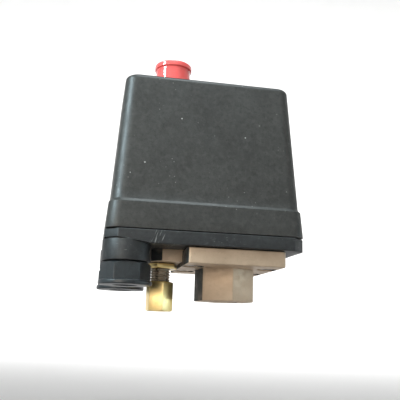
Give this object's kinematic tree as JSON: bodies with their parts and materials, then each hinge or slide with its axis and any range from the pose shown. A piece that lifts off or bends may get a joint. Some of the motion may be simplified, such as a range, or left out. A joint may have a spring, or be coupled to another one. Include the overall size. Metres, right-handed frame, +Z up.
{
  "type": "pressure switch",
  "caption": "Compressor pressure switch: tapered black cover on a moulded base, red pull-push knob, hex tank port, cable glands and brass unloader valve, working internals.",
  "frame": {"origin": "centre of the tank port's lower face, on the port's axis", "axes": "+Z up along the port's axis towards the knob, +X away from the cable glands, +Y towards the rear gland"},
  "size_m": [0.0895, 0.061, 0.1208],
  "materials": {
    "cover": "fine-grained moulded surface, satin sheen on the corners",
    "base": "moulded, lightly scuffed along the front edge",
    "gland_plastic": "moulded nylon, satin",
    "knob": "glossy translucent-looking red plastic",
    "flange": "as-cast zinc alloy, dull, fine granular skin with a warm cast",
    "brass": "machined bright brass, light tool marks",
    "contact_brass": "stamped contact brass",
    "zinc_plated_steel": "zinc-plated pressed steel",
    "fasteners": "zinc-plated fastener",
    "ground_steel": "ground bright steel",
    "spring_steel": "oiled spring wire",
    "rubber": "nitrile rubber, matte",
    "phenolic": "dark brown phenolic moulding"
  },
  "bodies": {
    "base_assembly": {"base": "base", "flange_port": "flange", "diaphragm": "rubber", "frame": "zinc_plated_steel", "cover_post": "zinc_plated_steel", "lever_pin": "ground_steel", "carrier_pin_front": "ground_steel", "carrier_pin_rear": "ground_steel", "range_stud": "zinc_plated_steel", "range_spring": "spring_steel", "differential_spring": "spring_steel", "toggle_spring_front": "spring_steel", "toggle_spring_rear": "spring_steel", "unloader_spring": "spring_steel", "terminal_block": "phenolic", "fixed_contact_1": "contact_brass", "fixed_contact_2": "contact_brass", "fixed_contact_3": "contact_brass", "fixed_contact_4": "contact_brass", "terminal_screw_1": "fasteners", "terminal_screw_2": "fasteners", "terminal_screw_3": "fasteners", "terminal_screw_4": "fasteners", "block_screw_front": "fasteners", "block_screw_rear": "fasteners", "earth_screw": "brass", "flange_screw_1": "fasteners", "flange_screw_2": "fasteners", "flange_screw_3": "fasteners", "flange_screw_4": "fasteners", "gland_nut_front": "gland_plastic", "gland_nut_rear": "gland_plastic", "gland_seal_front": "rubber", "gland_seal_rear": "rubber", "valve_body": "brass", "valve_nut": "zinc_plated_steel", "tube_ferrule": "brass", "compression_nut": "brass"},
    "cover": {"cover": "cover"},
    "cover_screw": {"cover_screw": "fasteners"},
    "knob": {"knob": "knob", "knob_rod": "ground_steel", "knob_retainer": "zinc_plated_steel"},
    "piston": {"piston": "ground_steel"},
    "main_lever": {"main_lever": "zinc_plated_steel"},
    "range_seat": {"range_spring_seat": "zinc_plated_steel"},
    "range_nut": {"range_nut": "zinc_plated_steel"},
    "differential_seat": {"differential_seat": "zinc_plated_steel"},
    "differential_screw": {"differential_screw": "zinc_plated_steel"},
    "contact_carrier": {"contact_carrier": "phenolic", "bridge_contact_front": "contact_brass", "bridge_contact_rear": "contact_brass"},
    "unloader_pin": {"unloader_pin": "ground_steel"}
  },
  "joints": [
    {"name": "cover_lift", "type": "slide", "parent": "base_assembly", "child": "cover", "axis": [0, 0, 1], "range_m": [0, 0.09]},
    {"name": "cover_screw_turn", "type": "hinge", "parent": "cover", "child": "cover_screw", "pos_m": [0.016, 0, 0.094], "axis": [0, 0, 1], "continuous": true},
    {"name": "knob_push", "type": "slide", "parent": "cover", "child": "knob", "axis": [0, 0, 1], "range_m": [-0.004, 0]},
    {"name": "carrier_tilt", "type": "hinge", "parent": "base_assembly", "child": "contact_carrier", "pos_m": [0, 0, 0.047], "axis": [0, 1, 0], "range_deg": [-8.2, 0], "deforming": ["toggle_spring_front", "toggle_spring_rear"]},
    {"name": "unloader_pin_slide", "type": "slide", "parent": "base_assembly", "child": "unloader_pin", "axis": [0, 0, 1], "range_m": [-0.0043, 0], "deforming": ["unloader_spring"]},
    {"name": "piston_lift", "type": "slide", "parent": "base_assembly", "child": "piston", "axis": [0, 0, 1], "range_m": [0, 0.0012]},
    {"name": "lever_tilt", "type": "hinge", "parent": "base_assembly", "child": "main_lever", "pos_m": [0.02, 0, 0.036], "axis": [0, 1, 0], "range_deg": [0, 3.5], "deforming": ["range_spring", "differential_spring"]},
    {"name": "range_nut_turn", "type": "hinge", "parent": "range_seat", "child": "range_nut", "pos_m": [-0.014, 0, 0.0696], "axis": [0, 0, 1], "range_deg": [-1441, 1441]},
    {"name": "range_seat_slide", "type": "slide", "parent": "base_assembly", "child": "range_seat", "axis": [0, 0, 1], "range_m": [-0.004, 0.004]},
    {"name": "differential_screw_turn", "type": "hinge", "parent": "base_assembly", "child": "differential_screw", "pos_m": [0.004, 0, 0.064], "axis": [0, 0, 1], "range_deg": [-721, 721]},
    {"name": "differential_seat_slide", "type": "slide", "parent": "base_assembly", "child": "differential_seat", "axis": [0, 0, 1], "range_m": [-0.0014, 0.0014]}
  ],
  "couplings": [
    {"joint": "carrier_tilt", "follows": "knob_push", "rad_per_m": 35.524},
    {"joint": "unloader_pin_slide", "follows": "knob_push", "ratio": 1.0728},
    {"joint": "lever_tilt", "follows": "piston_lift", "rad_per_m": 50},
    {"joint": "range_nut_turn", "follows": "range_seat_slide", "rad_per_m": 6283.2},
    {"joint": "differential_screw_turn", "follows": "differential_seat_slide", "rad_per_m": -8976}
  ]
}
